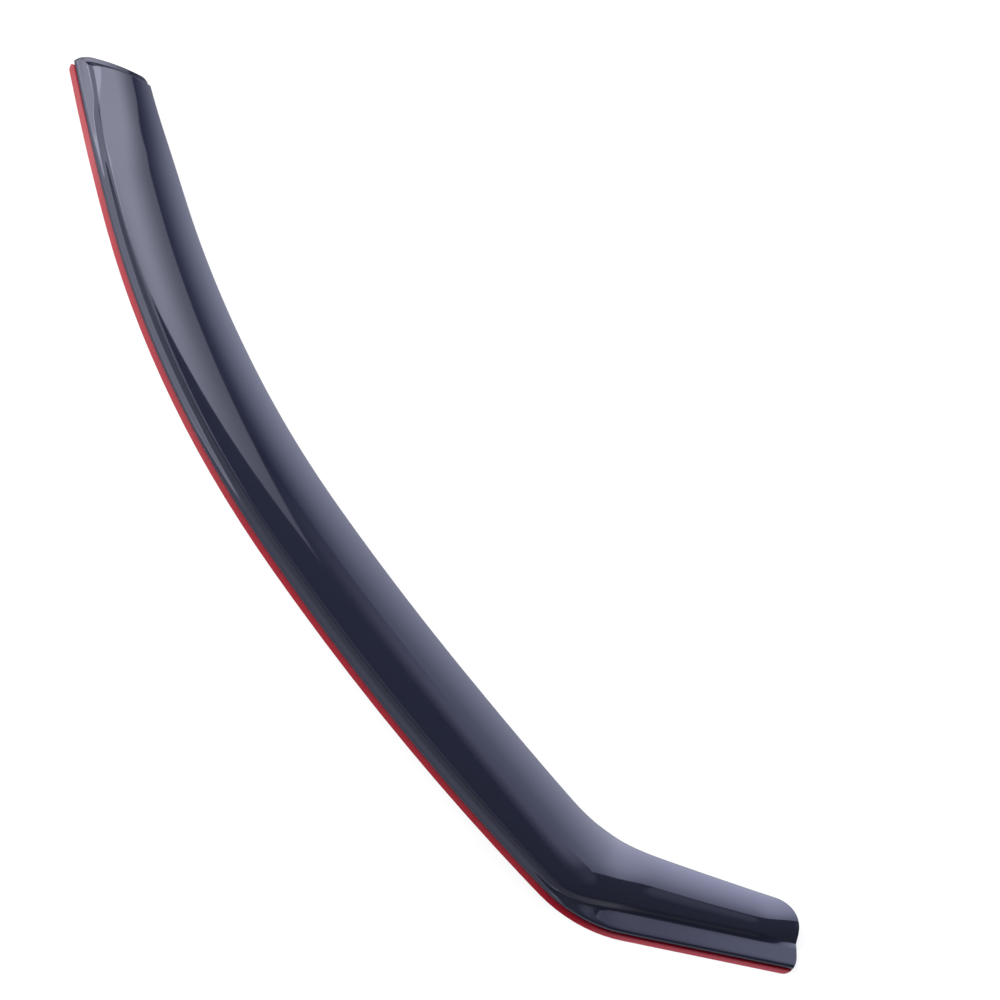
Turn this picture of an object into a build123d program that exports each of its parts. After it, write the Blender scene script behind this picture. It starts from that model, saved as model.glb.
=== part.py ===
from build123d import *
import os
from math import atan2, cos, degrees, radians, sin, sqrt, tan

# Driving sizes, in millimetres and degrees

# Plan of the liner's outer edge, run by run, from the closed rear end to the open pillar end
rear_heading = 151
rear_length = 151
rear_radius = 2000
roof_length = 300
roof_radius = 790
front_length = 337
front_radius = 1720
corner_radius = 109
corner_turn = 40
pillar_length = 148

# Flange and step of the moulded shell
wall = 3
edge_bevel = 0.8
rear_flange = 4.3
roof_flange = 5.3
pillar_flange = 16
rear_cant = 12
roof_cant = 33
cant_length = 120
twist_margin = 20
step_run = 6
step_rise = 5
step_fade = 40

# Dome of the moulded shell: place of its free edge, and slope of its arc against its chord
dome_lean = 24
rear_width = 60
roof_width = 69.4
corner_width = 77
pillar_width = 56
swell_length = 320
rear_height = 16.5
roof_height = 25
pillar_height = 12

# Closed rear end, cut on the skew
rear_skew = 25
skew_length = 130
end_flange = 4
end_wall = 5
end_height = 13
end_lean = 14

# Corners in plan
rear_flange_corner = 11
rear_free_corner = 8
pillar_flange_corner = 12
pillar_free_corner = 24

# Foam tape and release film, with the clearance between curved faces that are stuck together
foam = 1.2
film = 0.3
bond_gap = 0.1
film_overhang = 5
film_lip = 0.5
tape_inset = 0.5
tape_width = 6
tape_margin = 16
end_bond_gap = 0.3
end_film_overhang = 2
end_tape_inset = 0.4
end_tape_width = 3
end_tape_start = 16
end_tape_length = 30

# How finely the shell is lofted, and the overlap that keeps a corner cut clear of the faces beside it
end_spans = 2
end_wall_spans = 3
rear_spans = 9
roof_spans = 10
corner_spans = 11
pillar_spans = 7
cut_slack = 0.02

# Levels of the bonding stack, measured square to the flange, and reaches along it
tape_level = film + bond_gap
under_flange = tape_level + foam + bond_gap
over_flange = under_flange + wall
tape_start = film_overhang + tape_inset
tape_end = tape_start + tape_width
film_end = tape_end + film_lip

# Distances along the outer edge
dome_start = end_flange + end_wall
roof_end = rear_length + roof_length
dome_peak = roof_end + front_length / 2
corner_start = roof_end + front_length
corner_end = corner_start + corner_radius * radians(corner_turn)
corner_middle = (corner_start + corner_end) / 2
twist_start = corner_start - twist_margin
flat_start = corner_end + twist_margin
pillar_end = corner_end + pillar_length

rear_way = Vector(cos(radians(rear_heading)), sin(radians(rear_heading)))
with BuildLine() as outer_edge:
    rear_arc = JernArc((0, 0), rear_way, rear_radius, degrees(rear_length / rear_radius))
    roof_arc = JernArc(rear_arc @ 1, rear_arc % 1, roof_radius, degrees(roof_length / roof_radius))
    front_arc = JernArc(roof_arc @ 1, roof_arc % 1, front_radius, degrees(front_length / front_radius))
    corner_arc = JernArc(front_arc @ 1, front_arc % 1, corner_radius, corner_turn)
    Line(corner_arc @ 1, corner_arc @ 1 + (corner_arc % 1) * pillar_length)
edge_wire = outer_edge.wire()


def ease(distance, start, end):
    """Goes smoothly from 0 at start to 1 at end."""
    share = min(1, max(0, (distance - start) / (end - start)))
    return share * share * (3 - 2 * share)


def lift_at(distance):
    """How far the dome has risen off the end flange, from 0 to 1."""
    return ease(distance, end_flange, dome_start)


def cant_at(distance):
    """Slope of the flange: it rises inboard along the roof and lies flat along the pillar."""
    roof = rear_cant + (roof_cant - rear_cant) * ease(distance, dome_start, cant_length)
    return roof * (1 - ease(distance, twist_start, flat_start))


def flange_at(distance):
    """Width of the flange, from its edge to the foot of the step."""
    roof = rear_flange + (roof_flange - rear_flange) * ease(distance, dome_start, cant_length)
    return roof + (pillar_flange - roof) * ease(distance, corner_start, corner_end)


def step_at(distance):
    """Height of the step: none on the end flange, and it runs out at the pillar's end."""
    return step_rise * lift_at(distance) * (1 - ease(distance, pillar_end - step_fade, pillar_end))


def width_at(distance):
    """Distance in plan from the outer edge to the free edge."""
    if distance < corner_middle:
        swell = sin(radians(90 * min(1, distance / swell_length)))
        roof = rear_width + (roof_width - rear_width) * swell
        return roof + (corner_width - roof) * ease(distance, twist_start, corner_middle)
    share = (distance - corner_middle) / (pillar_end - corner_middle)
    return corner_width + (pillar_width - corner_width) * share


def height_at(distance):
    """Height of the free edge, which drops to the end flange at the closed end."""
    rise = (roof_height - rear_height) * ease(distance, 0, dome_peak)
    fall = (roof_height - pillar_height) * ease(distance, dome_peak, pillar_end)
    return end_height + (rear_height + rise - fall - end_height) * lift_at(distance)


def skew_at(distance):
    """Turn of the section in plan: the skew of the closed end, then square to the edge."""
    return rear_skew * (1 - ease(distance, dome_start, skew_length))


def section_plane(distance):
    """Upright plane across the strip, with its origin on the outer edge and x running inboard."""
    origin = edge_wire.position_at(distance, position_mode=PositionMode.LENGTH)
    along = edge_wire.tangent_at(distance, position_mode=PositionMode.LENGTH)
    normal = along.rotate(Axis.Z, -skew_at(distance))
    return Plane(origin=origin, x_dir=normal.rotate(Axis.Z, 90), z_dir=normal)


def on_flange(distance, reach, rise):
    """Point of the section, from its reach along the canted flange and its rise square to it."""
    cant = radians(cant_at(distance))
    inboard = reach * cos(cant) - rise * sin(cant)
    return Vector(inboard / cos(radians(skew_at(distance))), reach * sin(cant) + rise * cos(cant))


def lean_at(distance):
    """Slope of the dome's arc against its chord, which is flatter on the end flange."""
    return radians(end_lean + (dome_lean - end_lean) * lift_at(distance))


def dome_at(distance):
    """Start, end, centre and radius of the dome's outer arc."""
    shoulder = film_overhang + flange_at(distance) + step_run
    start = on_flange(distance, shoulder, over_flange + step_at(distance))
    end = Vector((width_at(distance) - edge_bevel) / cos(radians(skew_at(distance))), height_at(distance))
    chord = end - start
    radius = chord.length / (2 * sin(lean_at(distance)))
    drop = Vector(chord.Y, -chord.X).normalized() * radius * cos(lean_at(distance))
    return start, end, (start + end) / 2 + drop, radius


def visor_section(distance):
    """Flange, step and dome of the shell, cut across the strip."""
    foot = film_overhang + flange_at(distance)
    edge_foot = on_flange(distance, film_overhang, under_flange)
    edge_top = on_flange(distance, film_overhang, over_flange - edge_bevel)
    flange_top = on_flange(distance, film_overhang + edge_bevel, over_flange)
    step_foot = on_flange(distance, foot, over_flange)
    # The inner face of the step is set inboard, so that the wall keeps its thickness there
    shift = wall * tan(atan2(step_at(distance), step_run) / 2)
    inner_foot = on_flange(distance, foot + shift, under_flange)
    start, end, centre, radius = dome_at(distance)
    inner_radius = radius - wall
    inner_end = centre + (end - centre) * inner_radius / radius
    turn = -degrees(shift / radius)
    inner_start = centre + ((start - centre) * inner_radius / radius).rotate(Axis.Z, turn)
    crown = centre + ((start + end) / 2 - centre).normalized() * radius
    inner_crown = centre + ((inner_start + inner_end) / 2 - centre).normalized() * inner_radius
    # The free edge stands out past both arcs by its bevels
    outward = (end - inner_end).normalized() * edge_bevel
    beyond = outward.rotate(Axis.Z, -90)
    flange_way = on_flange(distance, 1, 0)
    dome_way = (start - centre).rotate(Axis.Z, -90)
    with BuildSketch(section_plane(distance)) as section:
        with BuildLine():
            Polyline(edge_foot, edge_top, flange_top, step_foot)
            Spline(step_foot, start, tangents=(flange_way, dome_way))
            ThreePointArc(start, crown, end)
            Polyline(end, end + beyond - outward, inner_end + beyond + outward, inner_end)
            ThreePointArc(inner_end, inner_crown, inner_start)
            Polyline(inner_start, inner_foot, edge_foot)
        make_face()
    return section.sketch


def strip_section(distance, start, end, bottom, top):
    """Flat strip under the flange, between two reaches and two levels."""
    with BuildSketch(section_plane(distance)) as section:
        with BuildLine():
            Polyline(
                on_flange(distance, start, bottom),
                on_flange(distance, end, bottom),
                on_flange(distance, end, top),
                on_flange(distance, start, top),
                close=True,
            )
        make_face()
    return section.sketch


def end_strip_section(top, bottom, offset):
    """Curved strip under the end flange, between two depths below the outer face of its arc."""
    start, end, centre, radius = dome_at(0)
    plane = section_plane(0)
    squeeze = cos(radians(rear_skew))

    def on_arc(depth, inboard):
        """Point of the arc at this depth, this far inboard."""
        reach = inboard / squeeze - centre.X
        return centre + Vector(reach, sqrt((radius - depth) ** 2 - reach**2))

    first = end_tape_start
    last = end_tape_start + end_tape_length
    middle = (first + last) / 2
    with BuildSketch(Plane(plane.origin + rear_way * offset, plane.x_dir, plane.z_dir)) as section:
        with BuildLine():
            ThreePointArc(on_arc(top, first), on_arc(top, middle), on_arc(top, last))
            Line(on_arc(top, last), on_arc(bottom, last))
            ThreePointArc(on_arc(bottom, last), on_arc(bottom, middle), on_arc(bottom, first))
            Line(on_arc(bottom, first), on_arc(top, first))
        make_face()
    return section.sketch


def corner_waste(tip, first_leg, second_leg, radius):
    """Plan of the corner that a round of this radius cuts away."""
    half = radians(first_leg.get_angle(second_leg) / 2)
    inward = (first_leg + second_leg).normalized()
    with BuildSketch() as waste:
        with BuildLine():
            Polyline(
                tip - inward * radius / 2,
                tip + first_leg * radius / tan(half),
                tip + inward * radius / sin(half),
                tip + second_leg * radius / tan(half),
                close=True,
            )
        make_face()
        with Locations(tip + inward * (radius / sin(half) - cut_slack)):
            Circle(radius, mode=Mode.SUBTRACT)
    return waste.sketch


def even_stations(first, last, count):
    """Evenly spaced distances, both ends included."""
    return [first + (last - first) * index / count for index in range(count + 1)]


def growing_stations(first, last, count):
    """Distances that lie close together at first and spread out towards last."""
    return [first + (last - first) * (index / count) ** 2 for index in range(count + 1)]


def free_corner(distance):
    """Point of the free edge in plan."""
    reach = width_at(distance) / cos(radians(skew_at(distance)))
    return section_plane(distance).from_local_coords(Vector(reach, 0))


cap_stations = even_stations(0, end_flange, end_spans)
cap_stations += even_stations(end_flange, dome_start, end_wall_spans)[1:]
bend_stations = growing_stations(dome_start, skew_length, rear_spans)
bend_stations += even_stations(skew_length, twist_start - twist_margin, roof_spans)[1:]
bend_stations += even_stations(twist_start - twist_margin, flat_start, corner_spans)[1:]
pillar_stations = even_stations(flat_start, pillar_end, pillar_spans)
tape_stations = [tape_margin] + [distance for distance in bend_stations if distance > tape_margin]

rear_plane = section_plane(0)
pillar_plane = section_plane(pillar_end)
rear_free_way = (free_corner(end_flange) - free_corner(0)).normalized()
pillar_free_way = (free_corner(flat_start) - free_corner(pillar_end)).normalized()
rear_flange_waste = corner_waste(rear_plane.origin, rear_way, rear_plane.x_dir, rear_flange_corner)
rear_free_waste = corner_waste(free_corner(0), rear_free_way, -rear_plane.x_dir, rear_free_corner)
pillar_flange_waste = corner_waste(
    pillar_plane.origin, -pillar_plane.z_dir, pillar_plane.x_dir, pillar_flange_corner)
pillar_free_waste = corner_waste(
    free_corner(pillar_end), pillar_free_way, -pillar_plane.x_dir, pillar_free_corner)
cut_depth = 2 * roof_height

with BuildPart() as visor:
    loft([visor_section(distance) for distance in cap_stations])
    for waste in (rear_flange_waste, rear_free_waste):
        extrude(waste, amount=cut_depth, both=True, mode=Mode.SUBTRACT)
    loft([visor_section(distance) for distance in bend_stations + pillar_stations[1:]])
    for waste in (pillar_flange_waste, pillar_free_waste):
        extrude(waste, amount=cut_depth, both=True, mode=Mode.SUBTRACT)

with BuildPart() as edge_tape:
    tape_profile = (tape_start, tape_end, tape_level, tape_level + foam)
    loft([strip_section(distance, *tape_profile) for distance in tape_stations])
    extrude(strip_section(flat_start, *tape_profile), amount=pillar_end - tape_margin - flat_start)

with BuildPart() as edge_liner:
    film_profile = (0, film_end, 0, film)
    loft([strip_section(distance, *film_profile) for distance in bend_stations])
    extrude(strip_section(flat_start, *film_profile), amount=pillar_end - flat_start)
    for waste in (rear_flange_waste, pillar_flange_waste):
        extrude(waste, amount=cut_depth, both=True, mode=Mode.SUBTRACT)

with BuildPart() as end_tape:
    end_tape_top = wall + end_bond_gap
    end_tape_bottom = end_tape_top + foam
    extrude(end_strip_section(end_tape_top, end_tape_bottom, end_tape_inset), end_tape_width, dir=rear_way)

with BuildPart() as end_liner:
    end_film_top = end_tape_bottom + bond_gap
    end_film_width = end_film_overhang + end_tape_inset + end_tape_width
    end_film_bottom = end_film_top + film
    end_film_section = end_strip_section(end_film_top, end_film_bottom, -end_film_overhang)
    extrude(end_film_section, end_film_width, dir=rear_way)

# All pieces move together, so that the part stands centred on the origin
pieces = {
    "visor": visor,
    "edge_tape": edge_tape,
    "edge_liner": edge_liner,
    "end_tape": end_tape,
    "end_liner": end_liner,
}
edges = [edge for piece in pieces.values() for edge in piece.part.edges()]
whole = Compound(edges).bounding_box()
to_origin = Location((-whole.center().X, -whole.center().Y, -whole.min.Z))
os.makedirs("parts", exist_ok=True)
for name, piece in pieces.items():
    piece.part.locate(to_origin)
    piece.part.label = name
    export_step(piece.part, f"parts/{name}.step")
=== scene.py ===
from math import atan2, cos, hypot, inf, pi, radians, sin, sqrt, tan

import bpy
import numpy as np
from mathutils import Matrix, Vector


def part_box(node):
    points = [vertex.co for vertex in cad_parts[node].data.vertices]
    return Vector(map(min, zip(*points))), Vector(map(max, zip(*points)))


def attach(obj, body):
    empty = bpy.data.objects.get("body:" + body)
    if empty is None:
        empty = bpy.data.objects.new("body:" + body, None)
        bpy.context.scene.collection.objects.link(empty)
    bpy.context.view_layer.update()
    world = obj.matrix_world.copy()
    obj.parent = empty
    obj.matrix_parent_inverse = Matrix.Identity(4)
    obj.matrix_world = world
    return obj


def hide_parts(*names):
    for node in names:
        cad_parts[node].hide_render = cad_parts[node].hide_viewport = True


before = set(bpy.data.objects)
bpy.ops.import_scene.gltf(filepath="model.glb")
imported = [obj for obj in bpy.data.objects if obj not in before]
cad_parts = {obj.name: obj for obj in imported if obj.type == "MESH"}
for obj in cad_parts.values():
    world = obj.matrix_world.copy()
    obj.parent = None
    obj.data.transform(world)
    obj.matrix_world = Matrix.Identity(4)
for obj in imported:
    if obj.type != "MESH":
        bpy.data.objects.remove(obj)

bl_info = {
    "name": "Window Visor Looks",
    "version": (1, 0, 0),
    "blender": (4, 5, 0),
    "location": "View3D > Sidebar > Visor",
    "description": "Gives a tape-on window visor its smooth shell, finishes, studio and camera",
    "category": "Object",
}

LINERS = ("edge_liner", "end_liner")
TAPES = ("edge_tape", "end_tape")
# Mesh attribute that holds the shell's painted reflection strength, point by point
PAINTED_REFLECTION_ATTRIBUTE = "polish"

# Points along each part of the section's outline
ROUND_POINTS = 5
FLANGE_POINTS = 6
STEP_POINTS = 16
DOME_POINTS = 60
INNER_FLANGE_POINTS = 5
INNER_STEP_POINTS = 5
INNER_DOME_POINTS = 40

# Points of the outline in each band of painted reflection strength, from the flange's edge round to
# the inner face
BORDER_BAND = 5
FLANGE_BAND = 6
STEP_FOOT_BAND = 4
STEP_BAND = 9
STEP_HEAD_BAND = 6
DOME_BAND = 57
FREE_EDGE_BAND = 6
INNER_BAND = 49

# Sections along each run of the shell, and how much they crowd towards its ends
END_FLANGE_SECTIONS, END_FLANGE_CROWDING = 31, 1.3
REAR_SECTIONS, REAR_CROWDING = 61, 1.5
ROOF_SECTIONS = 111
BEND_SECTIONS = 67
PILLAR_SECTIONS = 31
TAIL_SECTIONS, TAIL_CROWDING = 61, 1.7
TAIL_LENGTH = 1.2  # times the radius of the pillar's inner corner

HEADING_SAMPLES = 13
SWEEP_POINTS = 200
FEELER = 0.002  # metres to either side of a point, for the way of the free edge there
ROUND_DEPTH = 1 / 3  # how far a round stands back from its corner, as a share of its size
CORNER_RANGE = 2  # how far from its tip a corner is looked for, as a share of its leg
MERGE_DISTANCE = 1e-7
SHARP_EDGE = radians(40)

GLOSS_SPREAD = 0.2  # how much the roughness varies to either side
MOST_PAINTED_REFLECTION = 3  # largest share of painted reflection strength that the plastic can show

# Fades of the glowing panels: the side's axis, two shares of the panel's level, and the two places
# along that side between which they blend
WALL_RISE = ("Y", 1, 0.5, 0.1, 0.8)
FAR_WALL_FADES = (("X", 0.75, 1, 0, 0.55), WALL_RISE)
NEAR_WALL_FADES = (("X", 1, 0.1, 0.3, 1), WALL_RISE)
OVERHEAD_FADES = (("X", 0.85, 1, 0, 0.28), ("Y", 0.3, 1, 0, 0.45))
CEILING_FADES = (
    ("X", 0.3, 1, 0, 0.22),
    ("X", 0.25, 1, 0.36, 0.62),
    ("X", 1, 0, 0.72, 1),
    ("Y", 1, 0.25, 0.35, 1),
)
SKY_FADE = (0.1, 0.4)  # heights between which the room dims, where straight up is 1
WHITE = (1, 1, 1)


def length(name, description, default):
    """Length property, in metres."""
    return bpy.props.FloatProperty(
        name=name, description=description, default=default, min=0, unit="LENGTH", precision=4
    )


def angle(name, description, default):
    """Angle property, from a default in degrees."""
    return bpy.props.FloatProperty(
        name=name, description=description, default=radians(default), subtype="ANGLE"
    )


def number(name, description, default):
    """Plain number property."""
    return bpy.props.FloatProperty(name=name, description=description, default=default, min=0)


def place(name, description, default):
    """Point in space, in metres."""
    return bpy.props.FloatVectorProperty(
        name=name, description=description, default=default, subtype="XYZ", unit="LENGTH"
    )


def sides(name, description, default):
    """Width and height of a panel, in metres."""
    return bpy.props.FloatVectorProperty(
        name=name, description=description, default=default, size=2, min=0, unit="LENGTH"
    )


def direction(name, description, default):
    """Direction in space."""
    return bpy.props.FloatVectorProperty(
        name=name, description=description, default=default, subtype="DIRECTION"
    )


def colour(name, description, default):
    """Colour property."""
    return bpy.props.FloatVectorProperty(
        name=name, description=description, default=default, subtype="COLOR", size=3, min=0, max=1
    )


def ease(distance, start, end):
    """Goes smoothly from 0 at start to 1 at end."""
    share = min(1, max(0, (distance - start) / (end - start)))
    return share * share * (3 - 2 * share)


def glide(first, second, distance, start, end):
    """Goes smoothly from a first value at start to a second at end."""
    return first + (second - first) * ease(distance, start, end)


def heading_vector(heading):
    """Unit vector in plan."""
    return Vector((cos(heading), sin(heading)))


def unit(vector):
    """Vector of length 1 along a vector of the section."""
    return vector / hypot(*vector)


def across(vector):
    """Vector of the section turned a quarter clockwise."""
    return np.array((vector[1], -vector[0]))


def line(start, end, count):
    """Evenly spaced points from start up to, but without, end."""
    share = np.linspace(0, 1, count, endpoint=False)[:, None]
    return start + (end - start) * share


def curve(start, start_way, end, end_way, count):
    """Points of the smooth curve between two points and directions, without its end."""
    share = np.linspace(0, 1, count, endpoint=False)[:, None]
    pull = hypot(*(end - start))
    return (
        start * (2 * share**3 - 3 * share**2 + 1)
        + unit(start_way) * pull * (share**3 - 2 * share**2 + share)
        + end * (3 * share**2 - 2 * share**3)
        + unit(end_way) * pull * (share**3 - share**2)
    )


def sweep(start, start_way, end, end_way, count):
    """Points of the curve between two points and directions that is straight at both ends."""
    share = np.linspace(0, 1, count)[:, None]
    pull = hypot(*(end - start))
    return (
        start * (1 - 10 * share**3 + 15 * share**4 - 6 * share**5)
        + unit(start_way) * pull * (share - 6 * share**3 + 8 * share**4 - 3 * share**5)
        + end * (10 * share**3 - 15 * share**4 + 6 * share**5)
        + unit(end_way) * pull * (7 * share**4 - 4 * share**3 - 3 * share**5)
    )


def arc(centre, radius, start, end, count):
    """Points of an arc between two angles, both ends included."""
    turn = np.linspace(start, end, count)
    return centre + radius * np.column_stack((np.cos(turn), np.sin(turn)))


def crowded(start, end, count, crowding=1):
    """Distances from start to end, closer together near the start."""
    return start + (end - start) * np.linspace(0, 1, count) ** crowding


class ShellShape(bpy.types.PropertyGroup):
    """Plan and section of the moulded shell, along the outer edge of its liner."""

    rear_heading: angle("Rear heading", "Heading of the outer edge at the closed end", 151)
    rear_length: length("Rear length", "Length of the edge's rear run", 0.151)
    rear_radius: length("Rear radius", "Radius of the rear run", 2)
    roof_length: length("Roof length", "Length of the edge's roof run", 0.3)
    roof_radius: length("Roof radius", "Radius of the roof run", 0.79)
    front_length: length("Front length", "Length of the edge's front run", 0.337)
    front_radius: length("Front radius", "Radius of the front run", 1.72)
    corner_radius: length("Corner radius", "Radius of the bend to the pillar", 0.109)
    corner_turn: angle("Corner turn", "Turn of the bend to the pillar", 40)
    pillar_length: length("Pillar length", "Length of the edge's straight pillar run", 0.148)
    turn_window: length("Turn window", "How far the bend spreads in the sections' heading", 0.032)
    wall: length("Wall", "Thickness of the shell", 0.003)
    edge_round: length("Edge round", "Size of the rounds along the free edge", 0.0008)
    flange_round: length("Flange round", "Radius of the round along the flange's edge", 0.0026)
    rear_flange: length("Rear flange", "Width of the flange at the closed end", 0.0043)
    roof_flange: length("Roof flange", "Width of the flange along the roof", 0.0053)
    pillar_flange: length("Pillar flange", "Width of the flange along the pillar", 0.016)
    rear_cant: angle("Rear cant", "Slope of the flange at the closed end", 12)
    roof_cant: angle("Roof cant", "Slope of the flange along the roof", 33)
    cant_length: length("Cant length", "Distance at which the roof's slope is reached", 0.12)
    twist_margin: length("Twist margin", "How far the twist runs past the bend", 0.02)
    step_run: length("Step run", "Width of the step", 0.006)
    step_rise: length("Step rise", "Height of the step", 0.005)
    step_fade: length("Step fade", "Length in which the step runs out at the pillar's end", 0.04)
    step_start: number("Step start", "Share of the step's height at the closed end", 0.2)
    step_growth: length("Step growth", "Distance at which the step has its full height", 0.42)
    dome_lean: angle("Dome lean", "Slope of the dome's arc against its chord", 24)
    rear_width: length("Rear width", "Width of the strip at the closed end", 0.06)
    roof_width: length("Roof width", "Width of the strip along the roof", 0.0694)
    corner_width: length("Corner width", "Width of the strip at the bend", 0.077)
    pillar_width: length("Pillar width", "Width of the strip at the pillar's end", 0.056)
    swell_length: length("Swell length", "Distance at which the roof's width is reached", 0.32)
    rear_height: length("Rear height", "Height of the free edge near the closed end", 0.0165)
    roof_height: length("Roof height", "Height of the free edge along the roof", 0.025)
    pillar_height: length("Pillar height", "Height of the free edge at the pillar's end", 0.012)
    rear_skew: angle("Rear skew", "Skew of the closed end", 25)
    skew_length: length("Skew length", "Distance at which the section stands square", 0.13)
    end_flange: length("End flange", "Width of the flange across the closed end", 0.004)
    end_wall: length("End wall", "Length in which the dome rises off the end flange", 0.005)
    end_height: length("End height", "Height of the end flange's free edge", 0.013)
    end_lean: angle("End lean", "Slope of the end flange's arc against its chord", 14)
    rear_flange_corner: length(
        "Rear flange corner", "Radius of the closed end's outer corner", 0.011
    )
    rear_free_corner: length("Rear free corner", "Radius of the closed end's inner corner", 0.008)
    pillar_flange_corner: length(
        "Pillar flange corner", "Radius of the pillar's outer corner", 0.012
    )
    pillar_free_corner: length("Pillar free corner", "Radius of the pillar's inner corner", 0.024)
    film_overhang: length("Film overhang", "How far the liner stands out past the flange", 0.005)
    under_flange: length("Bonding stack", "Height of tape and liner under the flange", 0.0017)

    @property
    def dome_start(self):
        return self.end_flange + self.end_wall

    @property
    def corner_start(self):
        return self.rear_length + self.roof_length + self.front_length

    @property
    def corner_end(self):
        return self.corner_start + self.corner_radius * self.corner_turn

    @property
    def sweep_start(self):
        return self.corner_start - 2 * self.twist_margin

    @property
    def sweep_end(self):
        return self.corner_end + 2 * self.twist_margin

    @property
    def pillar_end(self):
        return self.corner_end + self.pillar_length

    @property
    def over_flange(self):
        return self.under_flange + self.wall

    def lift(self, distance):
        """How far the dome has risen off the end flange, from 0 to 1."""
        return ease(distance, self.end_flange, self.dome_start)

    def cant(self, distance):
        """Slope of the flange: it rises inboard along the roof and lies flat along the pillar."""
        roof = glide(self.rear_cant, self.roof_cant, distance, self.dome_start, self.cant_length)
        twist_start = self.corner_start - self.twist_margin
        return glide(roof, 0, distance, twist_start, self.corner_end + self.twist_margin)

    def flange(self, distance):
        """Width of the flange, from its edge to the foot of the step."""
        roof = glide(
            self.rear_flange, self.roof_flange, distance, self.dome_start, self.cant_length
        )
        return glide(roof, self.pillar_flange, distance, self.corner_start, self.corner_end)

    def step(self, distance):
        """Height of the step: none on the end flange, and it runs out at the pillar's end."""
        growth = glide(self.step_start, 1, distance, self.dome_start, self.step_growth)
        fade = ease(distance, self.pillar_end - self.step_fade, self.pillar_end)
        return self.step_rise * growth * self.lift(distance) * (1 - fade)

    def width(self, distance):
        """Distance in plan from the outer to the free edge, which is one curve in the bend."""
        if not self.sweep_start < distance < self.sweep_end:
            return self.straight_width(distance)
        ends = self.sweep_start, self.sweep_end
        first, last = (np.array(self.free_point(end)) for end in ends)
        first_way, last_way = (
            np.array(self.free_point(end + FEELER)) - np.array(self.free_point(end - FEELER))
            for end in ends
        )
        spot, heading, inboard = self.edge(distance)
        reach = sweep(first, first_way, last, last_way, SWEEP_POINTS) - np.array(spot)
        along = reach @ np.array(heading_vector(heading))
        return float(np.interp(0, along, reach @ np.array(inboard)))

    def straight_width(self, distance):
        """Distance in plan from the outer edge to the free edge, away from the bend."""
        middle = (self.corner_start + self.corner_end) / 2
        if distance < middle:
            swell = sin(pi / 2 * min(1, distance / self.swell_length))
            roof = self.rear_width + (self.roof_width - self.rear_width) * swell
            growth_start = self.corner_start - self.twist_margin
            return glide(roof, self.corner_width, distance, growth_start, middle)
        share = (distance - middle) / (self.pillar_end - middle)
        return self.corner_width + (self.pillar_width - self.corner_width) * share

    def height(self, distance):
        """Height of the free edge, which drops to the end flange at the closed end."""
        peak = self.corner_start - self.front_length / 2
        dome = glide(self.rear_height, self.roof_height, distance, 0, peak)
        dome = glide(dome, self.pillar_height, distance, peak, self.pillar_end)
        return self.end_height + (dome - self.end_height) * self.lift(distance)

    def skew(self, distance):
        """Turn of the section in plan: the skew of the closed end, then square to the edge."""
        return glide(self.rear_skew, 0, distance, self.dome_start, self.skew_length)

    def lean(self, distance):
        """Slope of the dome's arc against its chord."""
        return self.end_lean + (self.dome_lean - self.end_lean) * self.lift(distance)

    def outer_edge(self, distance):
        """Place on the outer edge and heading there."""
        spot, heading, left = Vector((0, 0)), self.rear_heading, distance
        runs = (
            (self.rear_length, self.rear_radius),
            (self.roof_length, self.roof_radius),
            (self.front_length, self.front_radius),
            (self.corner_radius * self.corner_turn, self.corner_radius),
        )
        for run, radius in runs:
            half = min(left, run) / radius / 2
            spot += heading_vector(heading + half) * 2 * radius * sin(half)
            heading += 2 * half
            left -= min(left, run)
        return spot + heading_vector(heading) * left, heading

    def edge(self, distance):
        """Place on the outer edge, and the section's softly turning heading and inboard way."""
        offsets = np.linspace(-self.turn_window, self.turn_window, HEADING_SAMPLES)
        heading = float(np.mean([self.outer_edge(distance + offset)[1] for offset in offsets]))
        inboard = heading_vector(heading - self.skew(distance) + pi / 2)
        return self.outer_edge(distance)[0], heading, inboard

    def free_point(self, distance):
        """Point of the free edge in plan."""
        spot, _, inboard = self.edge(distance)
        return spot + inboard * self.straight_width(distance) / cos(self.skew(distance))

    def on_flange(self, distance, reach, rise):
        """Point of the section, from its reach along the canted flange and its rise off it."""
        cant = self.cant(distance)
        inboard = reach * cos(cant) - rise * sin(cant)
        return np.array((inboard / cos(self.skew(distance)), reach * sin(cant) + rise * cos(cant)))


class ShellPaintedReflection(bpy.types.PropertyGroup):
    """How well each part of the shell mirrors, as a share of the plastic's polish: painted
    reflection, raised or lowered zone by zone to paint highlights and shade.
    """

    # Painted highlights and shade: each share below makes that zone's reflections brighter or
    # darker
    rear_border: number("Rear border", "Edge of the flange at the closed end", 1.6)
    roof_border: number("Roof border", "Edge of the flange along the roof", 1.1)
    pillar_border: number("Pillar border", "Edge of the flange along the pillar", 1.7)
    roof_flange: number("Roof flange", "Flange along the roof", 1)
    twist_gain: number("Twist gain", "What the flange gains where it twists flat", 2)
    bend_flange: number("Bend flange", "Flange where the bend ends", 0.55)
    pillar_flange: number("Pillar flange", "Flange at the pillar's end", 0.9)
    rear_step: number("Rear step", "Step at the closed end", 1)
    roof_step: number("Roof step", "Step along the roof", 0.3)
    pillar_step: number("Pillar step", "Step along the pillar", 0.9)
    roof_dome: number("Roof dome", "Dome along the roof", 1)
    pillar_dome: number("Pillar dome", "Dome along the pillar", 1.93)
    free_edge: number("Free edge", "Rounds of the free edge", 0.3)
    inner_face: number("Inner face", "Inner face of the shell", 1)


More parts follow.
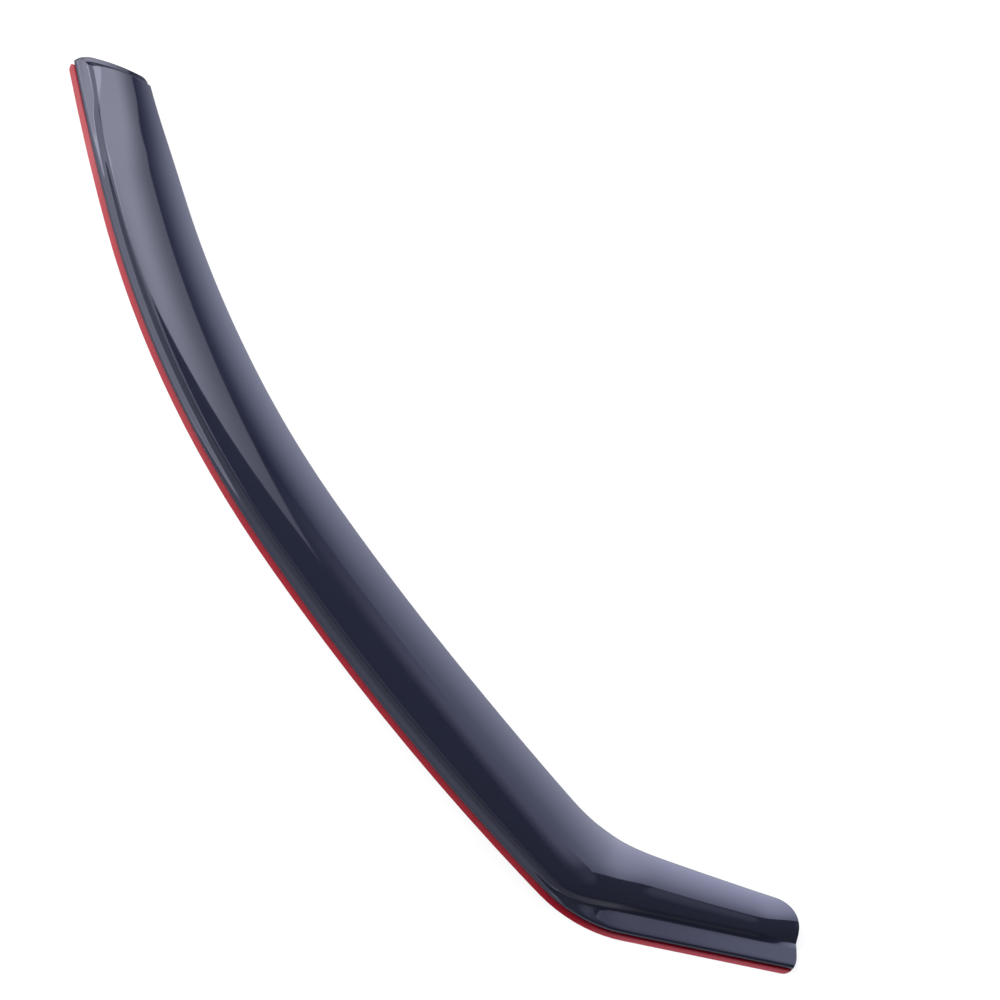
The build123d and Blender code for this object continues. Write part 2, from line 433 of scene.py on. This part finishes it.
def section_rows(shape, distance):
    """Outer and inner face of the section, with the dome's centre and radius."""
    foot = shape.film_overhang + shape.flange(distance)
    step = shape.step(distance)
    step_foot = shape.on_flange(distance, foot, shape.over_flange)
    start = shape.on_flange(distance, foot + shape.step_run, shape.over_flange + step)
    reach = (shape.width(distance) - shape.edge_round) / cos(shape.skew(distance))
    end = np.array((reach, shape.height(distance)))
    lean = shape.lean(distance)
    chord = end - start
    radius = hypot(*chord) / (2 * sin(lean))
    centre = (start + end) / 2 + unit(across(chord)) * radius * cos(lean)
    first = atan2(*(start - centre)[::-1])
    last = atan2(*(end - centre)[::-1])
    border = shape.on_flange(distance, shape.film_overhang, shape.over_flange)
    flange_way = shape.on_flange(distance, 1, 0)
    outer = np.concatenate((
        line(border, step_foot, FLANGE_POINTS),
        curve(step_foot, flange_way, start, across(start - centre), STEP_POINTS),
        arc(centre, radius, first, last, DOME_POINTS),
    ))
    # The inner face of the step is set inboard, so that the wall keeps its thickness there
    shift = shape.wall * tan(atan2(step, shape.step_run) / 2)
    inner_border = shape.on_flange(distance, shape.film_overhang, shape.under_flange)
    inner_foot = shape.on_flange(distance, foot + shift, shape.under_flange)
    inner_first = first - shift / radius
    inner_dome = arc(centre, radius - shape.wall, inner_first, last, INNER_DOME_POINTS)
    inner = np.concatenate((
        line(inner_border, inner_foot, INNER_FLANGE_POINTS),
        line(inner_foot, inner_dome[0], INNER_STEP_POINTS),
        inner_dome,
    ))
    return outer, inner, centre, radius


def cut_row(row, low, high):
    """The part of a row between two reaches, with as many points."""
    steps = np.arange(len(row))
    first, last = np.interp((low, high), row[:, 0], steps)
    spots = np.linspace(first, last, len(row))
    return np.column_stack([np.interp(spots, steps, values) for values in row.T])


def section_loop(shape, distance, low, high):
    """Closed outline of the section between two reaches in plan, with its edges rounded."""
    outer, inner, centre, radius = section_rows(shape, distance)
    top = cut_row(outer, max(low, outer[0, 0]), inf)[0]
    outer = cut_row(outer, top[0] + shape.flange_round, high - shape.edge_round)
    inner_end = centre[0] + (outer[-1, 0] - centre[0]) * (radius - shape.wall) / radius
    inner = cut_row(inner, low, inner_end)
    down = unit(inner[0] - top) * shape.flange_round
    inboard = outer[0] - top
    turn = np.linspace(0, pi / 2, ROUND_POINTS, endpoint=False)[:, None]
    outward = unit(outer[-1] - centre) * shape.edge_round
    beyond = across(outward)
    tip = outer[-1] + beyond
    inner_tip = inner[-1] + beyond
    free_edge = (
        tip - (beyond + outward) * ROUND_DEPTH,
        tip - outward,
        inner_tip + outward,
        inner_tip + (outward - beyond) * ROUND_DEPTH,
    )
    return np.concatenate((
        inner[:1],
        top + down * (1 - np.sin(turn)) + inboard * (1 - np.cos(turn)),
        outer,
        free_edge,
        inner[::-1],
    ))


def section_painted_reflection(shape, polish, distance):
    """How well each point of the section's outline mirrors: painted reflection strength, which
    paints highlights and shade band by band.
    """
    start, end, margin = shape.corner_start, shape.corner_end, shape.twist_margin
    growth = shape.step_growth
    border = glide(polish.rear_border, polish.roof_border, distance, shape.skew_length, growth)
    border = glide(border, polish.pillar_border, distance, start, end)
    flange = glide(polish.roof_flange, polish.bend_flange, distance, start, end)
    flange = glide(flange, polish.pillar_flange, distance, end, shape.pillar_end)
    # Painted highlight: the flange mirrors more where it twists flat
    twist = ease(distance, start, start + margin)
    untwist = ease(distance, end - 2 * margin, end - margin)
    flange += polish.twist_gain * twist * (1 - untwist)
    step = glide(polish.rear_step, polish.roof_step, distance, shape.dome_start, growth)
    step = glide(step, polish.pillar_step, distance, start, end)
    dome = glide(
        polish.roof_dome, polish.pillar_dome, distance, shape.sweep_start, shape.sweep_end
    )
    bands = (
        (border, border, BORDER_BAND),
        (flange, flange, FLANGE_BAND),
        (flange, step, STEP_FOOT_BAND),
        (step, step, STEP_BAND),
        (step, dome, STEP_HEAD_BAND),
        (dome, dome, DOME_BAND),
        (polish.free_edge, polish.free_edge, FREE_EDGE_BAND),
        (polish.inner_face, polish.inner_face, INNER_BAND),
    )
    return np.concatenate([np.linspace(*band) for band in bands])


def corner_rounds(shape):
    """Rounded corners in plan: tip, leg along the edge, reach along it, centre, radius, side."""
    end = shape.pillar_end
    rear, rear_heading, rear_inboard = shape.edge(0)
    pillar, pillar_heading, pillar_inboard = shape.edge(end)
    rear_free, pillar_free = shape.free_point(0), shape.free_point(end)
    rear_free_way = (shape.free_point(shape.end_flange) - rear_free).normalized()
    pillar_start = shape.free_point(shape.corner_end + shape.twist_margin)
    pillar_free_way = (pillar_start - pillar_free).normalized()
    corners = (
        (rear, heading_vector(rear_heading), rear_inboard, shape.rear_flange_corner, -1),
        (rear_free, rear_free_way, -rear_inboard, shape.rear_free_corner, 1),
        (pillar, -heading_vector(pillar_heading), pillar_inboard, shape.pillar_flange_corner, -1),
        (pillar_free, pillar_free_way, -pillar_inboard, shape.pillar_free_corner, 1),
    )
    rounds = []
    for tip, leg, end_leg, radius, side in corners:
        half = leg.angle(end_leg) / 2
        centre = tip + (leg + end_leg).normalized() * radius / sin(half)
        rounds.append((tip, leg, radius / tan(half), centre, radius, side))
    return rounds


def reach_limits(shape, distance, rounds):
    """Lowest and highest reach of the section in plan, within the rounded corners."""
    spot, _, inboard = shape.edge(distance)
    limits = {-1: -inf, 1: inf}
    for tip, leg, reach, centre, radius, side in rounds:
        from_tip = (spot if side < 0 else shape.free_point(distance)) - tip
        if abs(from_tip.dot(leg)) < reach and from_tip.length < CORNER_RANGE * reach:
            middle = (centre - spot).dot(inboard)
            half = radius**2 - (centre - spot).length_squared + middle**2
            limits[side] = middle + side * sqrt(max(0, half))
    return limits[-1], limits[1]


def stations(shape):
    """Distances of the sections, close together at both ends and round the bend."""
    bend_end = shape.corner_end + shape.twist_margin
    tail = shape.pillar_end - TAIL_LENGTH * shape.pillar_free_corner
    return np.concatenate((
        crowded(0, shape.dome_start, END_FLANGE_SECTIONS, END_FLANGE_CROWDING)[:-1],
        crowded(shape.dome_start, shape.skew_length, REAR_SECTIONS, REAR_CROWDING)[:-1],
        crowded(shape.skew_length, shape.sweep_start, ROOF_SECTIONS)[:-1],
        crowded(shape.sweep_start, bend_end, BEND_SECTIONS)[:-1],
        crowded(bend_end, tail, PILLAR_SECTIONS)[:-1],
        crowded(shape.pillar_end, tail, TAIL_SECTIONS, TAIL_CROWDING)[::-1],
    ))


def add_shell(shape, polish):
    """Smooth shell of fine sections, in the place of the CAD shell."""
    rounds = corner_rounds(shape)
    points, shares = [], []
    for distance in stations(shape):
        low, high = reach_limits(shape, distance, rounds)
        spot, _, inboard = shape.edge(distance)
        loop = section_loop(shape, distance, low, high)
        plan = np.array(spot) + loop[:, :1] * np.array(inboard)
        points.append(np.column_stack((plan, loop[:, 1])))
        shares.append(section_painted_reflection(shape, polish, distance))
    points, shares = np.array(points), np.array(shares)
    lowest, highest = (np.array(corner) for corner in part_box("visor"))
    points += (lowest + highest) / 2 - (points.min((0, 1)) + points.max((0, 1))) / 2
    sections, outline = shares.shape
    bpy.ops.object.select_all(action="DESELECT")
    bpy.ops.mesh.primitive_grid_add(x_subdivisions=outline - 1, y_subdivisions=sections - 1)
    shell = bpy.context.object
    shell.name = "smooth_shell"
    shell.data.vertices.foreach_set("co", points.ravel())
    # Painted reflection strength for each point, read by the plastic's shader
    mirror = shell.data.attributes.new(PAINTED_REFLECTION_ATTRIBUTE, "FLOAT", "POINT")
    mirror.data.foreach_set("value", shares.ravel())
    bpy.ops.object.mode_set(mode="EDIT")
    bpy.ops.mesh.select_all(action="SELECT")
    bpy.ops.mesh.remove_doubles(threshold=MERGE_DISTANCE)
    bpy.ops.mesh.fill_holes(sides=0)
    bpy.ops.mesh.select_all(action="SELECT")
    bpy.ops.mesh.normals_make_consistent(inside=False)
    bpy.ops.object.mode_set(mode="OBJECT")
    bpy.ops.object.shade_smooth_by_angle(angle=SHARP_EDGE)
    return shell


class PlasticFinish(bpy.types.PropertyGroup):
    """Smoked acrylic of the moulded shell."""

    body: colour("Body", "Colour of the smoked sheet", (0.0108, 0.0126, 0.0250))
    haze: colour("Haze", "Paler colour where the smoke is thinner", (0.0134, 0.0154, 0.0295))
    clouds: number("Clouds", "Smoke clouds per metre", 9)
    sheen: colour("Sheen", "Tint of the polished face's reflections", (0.79, 0.80, 1.0))
    polish: number("Polish", "Strength of the polished face's reflections", 0.5)
    gloss: number("Roughness", "Roughness of the polished face", 0.06)
    wipes: number("Wipe marks", "Wipe marks per metre", 60)


class FilmFinish(bpy.types.PropertyGroup):
    """Red release film over the tape."""

    red: colour("Red", "Colour of the film", (0.275, 0.008, 0.019))
    pale: colour("Pale", "Colour where the film has stretched", (0.31, 0.011, 0.024))
    patches: number("Patches", "Stretched patches per metre", 40)
    sheen: number("Sheen", "Strength of the film's reflections", 0.25)
    gloss: number("Roughness", "Roughness of the film", 0.24)
    grains: number("Grains", "Grains per metre", 900)
    grain_depth: length("Grain depth", "Depth of the film's grain", 0.00005)
    grain_strength: number("Grain strength", "Strength of the film's grain", 0.2)


class FoamFinish(bpy.types.PropertyGroup):
    """Black acrylic foam of the tape."""

    cell: colour("Cell", "Colour of the foam's cell walls", (0.020, 0.020, 0.021))
    # Painted shade: the pores are coloured darker than the cell walls
    pore_shade: colour("Pore", "Colour down in the pores", (0.008, 0.008, 0.009))
    pitch: length("Pore pitch", "Distance between pores", 0.0006)
    pore_depth: length("Pore depth", "Depth of the pores", 0.0002)
    pore_strength: number("Pore strength", "Strength of the pores' relief", 0.6)
    matt: number("Roughness", "Roughness of the foam", 0.9)


class StudioSetup(bpy.types.PropertyGroup):
    """Floor, lamps and camera."""

    floor: colour("Floor", "Colour of the floor", (0.9, 0.9, 0.9))
    floor_size: length("Floor size", "Side of the square floor", 16)
    floor_white: number("Floor white", "Share of the floor that shows as plain white", 0.75)
    overhead_corner: place(
        "Overhead corner", "Corner of the softbox that shows in the shell", (0.353, 0.036, 2.0)
    )
    overhead_size: sides("Overhead size", "Sides of the overhead softbox", (1.8, 2.1))
    overhead_turn: angle("Overhead turn", "Heading of the softbox's first side", -66)
    overhead_level: number("Overhead level", "Brightness of the overhead softbox's face", 6.3)
    side_place: place("Side place", "Middle of the side softbox", (1.44, 0.86, 1.3))
    side_size: sides("Side size", "Width and height of the side softbox", (1.75, 2.2))
    side_turn: angle("Side turn", "Heading in which the side softbox stands from the visor", 40)
    side_level: number("Side level", "Brightness of the side softbox's face", 3.2)
    fill_place: place("Fill place", "Middle of the dim panel behind the camera", (-0.1, 1.5, 1.5))
    fill_size: sides("Fill size", "Width and height of the dim panel", (2.2, 2.0))
    fill_level: number("Fill level", "Brightness of the dim panel's face", 1.1)
    wall_corner: place("Wall corner", "Far corner of the glowing wall's foot", (-1.15, -1.12, 0))
    wall_size: sides("Wall size", "Width and height of the glowing wall", (1.95, 3.0))
    wall_split: number("Wall split", "Share of the wall's width that is its far part", 0.6)
    wall_level: number("Wall level", "Brightness at the wall's foot", 3.9)
    ceiling_corner: place(
        "Ceiling corner", "Far corner of the glowing ceiling", (-2.05, -1.12, 3.0)
    )
    ceiling_size: sides("Ceiling size", "Width and depth of the glowing ceiling", (2.9, 1.08))
    ceiling_level: number("Ceiling level", "Brightness of the glowing ceiling", 1.7)
    panel_tint: colour("Panel tint", "Colour of the wall's and ceiling's light", (0.85, 0.87, 1.0))
    horizon: number("Horizon", "Brightness of the room at the horizon", 0.6)
    zenith: number("Zenith", "Brightness of the room overhead", 0.1)
    camera_aim: place(
        "Camera aim", "Point on the floor at the middle of the picture", (-0.0221, -0.1194, 0)
    )
    camera_way: direction(
        "Camera way", "Direction in which the camera looks", (0.1348, -0.597, -0.7908)
    )
    camera_up: direction(
        "Camera up", "Direction that is up in the picture", (0.7889, -0.4182, 0.4502)
    )
    camera_distance: length("Camera distance", "Distance from the camera to its aim", 4.7145)
    lens: number("Lens", "Focal length of the camera, in millimetres", 216)
    sensor: number("Sensor", "Width of the camera's sensor, in millimetres", 36)


def new_material(name):
    """Node material with its tree and its shader."""
    material = bpy.data.materials.new(name)
    material.use_nodes = True
    return material, material.node_tree, material.node_tree.nodes["Principled BSDF"]


def pattern(tree, kind, scale, **settings):
    """Texture node on the piece's own coordinates."""
    spot = tree.nodes.new("ShaderNodeTexCoord")
    texture = tree.nodes.new(kind)
    texture.inputs["Scale"].default_value = scale
    for name, value in settings.items():
        texture.inputs[name].default_value = value
    tree.links.new(spot.outputs["Object"], texture.inputs["Vector"])
    return texture


def blend(tree, factor, first, second, socket):
    """Two colours mixed by a texture, into a shader's colour."""
    ramp = tree.nodes.new("ShaderNodeValToRGB")
    ramp.color_ramp.elements[0].color = (*first, 1)
    ramp.color_ramp.elements[1].color = (*second, 1)
    tree.links.new(factor, ramp.inputs["Fac"])
    tree.links.new(ramp.outputs["Color"], socket)


def spread(tree, value, low, high, start=0, end=1, kind="LINEAR"):
    """A value between start and end, spread between two limits."""
    limits = tree.nodes.new("ShaderNodeMapRange")
    limits.interpolation_type = kind
    limits.inputs["From Min"].default_value = start
    limits.inputs["From Max"].default_value = end
    limits.inputs["To Min"].default_value = low
    limits.inputs["To Max"].default_value = high
    tree.links.new(value, limits.inputs["Value"])
    return limits.outputs["Result"]


def combine(tree, operation, first, second):
    """Two varying values combined by an operation."""
    node = tree.nodes.new("ShaderNodeMath")
    node.operation = operation
    tree.links.new(first, node.inputs[0])
    tree.links.new(second, node.inputs[1])
    return node.outputs["Value"]


def roughen(tree, texture, gloss, shader):
    """Roughness that a texture varies a little."""
    low, high = gloss * (1 - GLOSS_SPREAD), gloss * (1 + GLOSS_SPREAD)
    tree.links.new(spread(tree, texture.outputs["Fac"], low, high), shader.inputs["Roughness"])


def relief(tree, height, depth, strength, socket):
    """A texture's value as fine relief."""
    bump = tree.nodes.new("ShaderNodeBump")
    bump.inputs["Distance"].default_value = depth
    bump.inputs["Strength"].default_value = strength
    tree.links.new(height, bump.inputs["Height"])
    tree.links.new(bump.outputs["Normal"], socket)


def smoked_plastic(finish):
    """Polished dark sheet with faint smoke clouds, with reflections painted stronger or weaker zone
    by zone from the shell's painted reflection attribute.
    """
    material, tree, shader = new_material("smoked_plastic")
    clouds = pattern(tree, "ShaderNodeTexNoise", finish.clouds, Detail=3)
    blend(tree, clouds.outputs["Fac"], finish.body, finish.haze, shader.inputs["Base Color"])
    wipes = pattern(tree, "ShaderNodeTexNoise", finish.wipes, Detail=4)
    roughen(tree, wipes, finish.gloss, shader)
    # Painted highlights and shade: the reflection strength follows the shell's painted reflection
    # attribute
    mirror = tree.nodes.new("ShaderNodeAttribute")
    mirror.attribute_name = PAINTED_REFLECTION_ATTRIBUTE
    most = MOST_PAINTED_REFLECTION * finish.polish
    polish = spread(tree, mirror.outputs["Fac"], 0, most, 0, MOST_PAINTED_REFLECTION)
    tree.links.new(polish, shader.inputs["Specular IOR Level"])
    shader.inputs["Specular Tint"].default_value = (*finish.sheen, 1)
    return material


def red_film(finish):
    """Thin red film with a fine grain."""
    material, tree, shader = new_material("red_film")
    patches = pattern(tree, "ShaderNodeTexNoise", finish.patches, Detail=3)
    blend(tree, patches.outputs["Fac"], finish.red, finish.pale, shader.inputs["Base Color"])
    grain = pattern(tree, "ShaderNodeTexNoise", finish.grains, Detail=2)
    roughen(tree, grain, finish.gloss, shader)
    height, normal = grain.outputs["Fac"], shader.inputs["Normal"]
    relief(tree, height, finish.grain_depth, finish.grain_strength, normal)
    shader.inputs["Specular IOR Level"].default_value = finish.sheen
    return material


def black_foam(finish):
    """Matt foam with open pores, painted darker inside as painted shade."""
    material, tree, shader = new_material("black_foam")
    pores = pattern(tree, "ShaderNodeTexVoronoi", 1 / finish.pitch).outputs["Distance"]
    # Painted shade: darker colour towards each pore's middle, where the relief is deepest
    blend(tree, pores, finish.pore_shade, finish.cell, shader.inputs["Base Color"])
    relief(tree, pores, finish.pore_depth, finish.pore_strength, shader.inputs["Normal"])
    shader.inputs["Roughness"].default_value = finish.matt
    return material


def dress(piece, material):
    """Gives a piece its finish."""
    piece.data.materials.clear()
    piece.data.materials.append(material)


class VISOR_OT_shell(bpy.types.Operator):
    """Model the smooth moulded shell and finish it"""

    bl_idname = "visor.shell"
    bl_label = "Shell"

    def execute(self, context):
        shell = add_shell(context.scene.visor_shape, context.scene.visor_polish)
        dress(shell, smoked_plastic(context.scene.visor_plastic))
        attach(shell, "root")
        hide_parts("visor")
        return {"FINISHED"}


class VISOR_OT_liners(bpy.types.Operator):
    """Finish both release liners"""

    bl_idname = "visor.liners"
    bl_label = "Release liners"

    def execute(self, context):
        film = red_film(context.scene.visor_film)
        for node in LINERS:
            dress(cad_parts[node], film)
        return {"FINISHED"}


class VISOR_OT_tapes(bpy.types.Operator):
    """Finish both foam tapes"""

    bl_idname = "visor.tapes"
    bl_label = "Foam tapes"

    def execute(self, context):
        foam = black_foam(context.scene.visor_foam)
        for node in TAPES:
            dress(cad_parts[node], foam)
        return {"FINISHED"}


def shown(tree):
    """Light path that is 1 for what the camera sees, also in a mirror or through a pane."""
    path = tree.nodes.new("ShaderNodeLightPath")
    seen = combine(tree, "MAXIMUM", path.outputs["Is Camera Ray"], path.outputs["Is Glossy Ray"])
    return combine(tree, "MAXIMUM", seen, path.outputs["Is Transmission Ray"])


def add_floor(setup):
    """Pale floor that shows as white, with the visor's shadow on it."""
    bpy.ops.mesh.primitive_plane_add(size=setup.floor_size)
    floor = bpy.context.object
    floor.name = "floor"
    material, tree, shader = new_material("floor")
    shader.inputs["Base Color"].default_value = (*setup.floor, 1)
    shader.inputs["Roughness"].default_value = 1
    shader.inputs["Specular IOR Level"].default_value = 0
    white = tree.nodes.new("ShaderNodeEmission")
    mix = tree.nodes.new("ShaderNodeMixShader")
    tree.links.new(spread(tree, shown(tree), 0, setup.floor_white), mix.inputs["Fac"])
    tree.links.new(shader.outputs["BSDF"], mix.inputs[1])
    tree.links.new(white.outputs["Emission"], mix.inputs[2])
    tree.links.new(mix.outputs["Shader"], tree.nodes["Material Output"].inputs["Surface"])
    floor.data.materials.append(material)


def add_softbox(name, spot, turn, size, level):
    """Rectangular lamp with a face of even brightness."""
    lamp = bpy.data.lights.new(name, "AREA")
    lamp.shape = "RECTANGLE"
    lamp.size, lamp.size_y = size
    lamp.energy = level * pi * size[0] * size[1]
    softbox = bpy.data.objects.new(name, lamp)
    softbox.matrix_world = Matrix.Translation(spot) @ turn
    softbox.visible_camera = False
    bpy.context.scene.collection.objects.link(softbox)


def add_panel(name, corner, along, up, tint, level, fades):
    """Glowing panel whose level is dimmed by fades along its sides."""
    bpy.ops.mesh.primitive_plane_add(size=1)
    panel = bpy.context.object
    panel.name = name
    along, up = Vector(along), Vector(up)
    sides_to_world = Matrix((along, up, along.cross(up))).transposed().to_4x4()
    panel.data.transform(Matrix.Translation(Vector(corner) + (along + up) / 2) @ sides_to_world)
    material, tree, shader = new_material(name)
    shader.inputs["Base Color"].default_value = (0, 0, 0, 1)
    shader.inputs["Specular IOR Level"].default_value = 0
    shader.inputs["Emission Color"].default_value = (*tint, 1)
    spot = tree.nodes.new("ShaderNodeTexCoord")
    axes = tree.nodes.new("ShaderNodeSeparateXYZ")
    tree.links.new(spot.outputs["UV"], axes.inputs["Vector"])
    (axis, first, second, *places), *others = fades
    levels = level * first, level * second
    glow = spread(tree, axes.outputs[axis], *levels, *places, "SMOOTHSTEP")
    for axis, *fade in others:
        share = spread(tree, axes.outputs[axis], *fade, "SMOOTHSTEP")
        glow = combine(tree, "MULTIPLY", glow, share)
    tree.links.new(glow, shader.inputs["Emission Strength"])
    panel.data.materials.append(material)
    panel.visible_camera = False


def add_lamps(setup):
    """Softbox above the closed end, wall and ceiling on the free side, two lamps for the flange."""
    turn = Matrix.Rotation(setup.overhead_turn, 3, "Z")
    width, depth = setup.overhead_size
    along, up = turn @ Vector((width, 0, 0)), turn @ Vector((0, depth, 0))
    corner, level = setup.overhead_corner, setup.overhead_level
    add_panel("overhead_softbox", corner, along, up, WHITE, level, OVERHEAD_FADES)
    tint, level = setup.panel_tint, setup.wall_level
    width, height = setup.wall_size
    along, up = Vector((setup.wall_split * width, 0, 0)), Vector((0, 0, height))
    add_panel("far_wall", setup.wall_corner, along, up, tint, level, FAR_WALL_FADES)
    corner = Vector(setup.wall_corner) + along
    along = Vector(((1 - setup.wall_split) * width, 0, 0))
    add_panel("near_wall", corner, along, up, tint, level, NEAR_WALL_FADES)
    width, depth = setup.ceiling_size
    corner, level = setup.ceiling_corner, setup.ceiling_level
    add_panel("ceiling", corner, (width, 0, 0), (0, depth, 0), tint, level, CEILING_FADES)
    upright = Matrix.Rotation(-pi / 2, 4, "X")
    turn = Matrix.Rotation(setup.side_turn - pi / 2, 4, "Z") @ upright
    add_softbox("side_softbox", setup.side_place, turn, setup.side_size, setup.side_level)
    add_softbox("fill_panel", setup.fill_place, upright, setup.fill_size, setup.fill_level)


def add_world(setup):
    """Plain room, pale at the horizon and dim overhead."""
    world = bpy.data.worlds.new("studio")
    bpy.context.scene.world = world
    world.use_nodes = True
    tree = world.node_tree
    sky = tree.nodes["Background"]
    sky.inputs["Color"].default_value = (*WHITE, 1)
    spot = tree.nodes.new("ShaderNodeTexCoord")
    axes = tree.nodes.new("ShaderNodeSeparateXYZ")
    tree.links.new(spot.outputs["Generated"], axes.inputs["Vector"])
    levels = setup.horizon, setup.zenith
    level = spread(tree, axes.outputs["Z"], *levels, *SKY_FADE, "SMOOTHSTEP")
    tree.links.new(level, sky.inputs["Strength"])


def add_camera(setup):
    """Long lens at the photograph's viewing angle."""
    way = Vector(setup.camera_way).normalized()
    right = way.cross(Vector(setup.camera_up)).normalized()
    spot = Vector(setup.camera_aim) - way * setup.camera_distance
    turn = Matrix((right, right.cross(way), -way)).transposed().to_4x4()
    lens = bpy.data.cameras.new("photo_camera")
    lens.sensor_width = setup.sensor
    lens.lens = setup.lens
    camera = bpy.data.objects.new("photo_camera", lens)
    camera.matrix_world = Matrix.Translation(spot) @ turn
    bpy.context.scene.collection.objects.link(camera)
    bpy.context.scene.camera = camera


class VISOR_OT_stage(bpy.types.Operator):
    """Add the floor, the lamps and the camera"""

    bl_idname = "visor.stage"
    bl_label = "Studio"

    def execute(self, context):
        setup = context.scene.visor_studio
        bpy.ops.object.select_all(action="DESELECT")
        add_floor(setup)
        add_lamps(setup)
        add_world(setup)
        add_camera(setup)
        context.scene.view_settings.view_transform = "Standard"
        return {"FINISHED"}


class VISOR_PT_sidebar(bpy.types.Panel):
    """Sizes and colours of the visor, with the steps that build it"""

    bl_label = "Window visor"
    bl_idname = "VISOR_PT_sidebar"
    bl_space_type = "VIEW_3D"
    bl_region_type = "UI"
    bl_category = "Visor"

    def draw(self, context):
        for step, groups in STEPS:
            box = self.layout.box()
            box.operator(step.bl_idname)
            for group in groups:
                settings = getattr(context.scene, group)
                for name in settings.__annotations__:
                    box.prop(settings, name)


STEPS = (
    (VISOR_OT_shell, ("visor_shape", "visor_polish", "visor_plastic")),
    (VISOR_OT_liners, ("visor_film",)),
    (VISOR_OT_tapes, ("visor_foam",)),
    (VISOR_OT_stage, ("visor_studio",)),
)
GROUPS = {
    "visor_shape": ShellShape,
    "visor_polish": ShellPaintedReflection,
    "visor_plastic": PlasticFinish,
    "visor_film": FilmFinish,
    "visor_foam": FoamFinish,
    "visor_studio": StudioSetup,
}
CLASSES = (*GROUPS.values(), *(step for step, groups in STEPS), VISOR_PT_sidebar)


def register():
    for item in CLASSES:
        bpy.utils.register_class(item)
    for name, group in GROUPS.items():
        setattr(bpy.types.Scene, name, bpy.props.PointerProperty(type=group))


def unregister():
    for name in GROUPS:
        delattr(bpy.types.Scene, name)
    for item in reversed(CLASSES):
        bpy.utils.unregister_class(item)


def main():
    """Builds the visor's looks."""
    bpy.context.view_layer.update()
    register()
    bpy.ops.visor.shell()
    bpy.ops.visor.liners()
    bpy.ops.visor.tapes()
    bpy.ops.visor.stage()


if __name__ == "__main__":
    main()
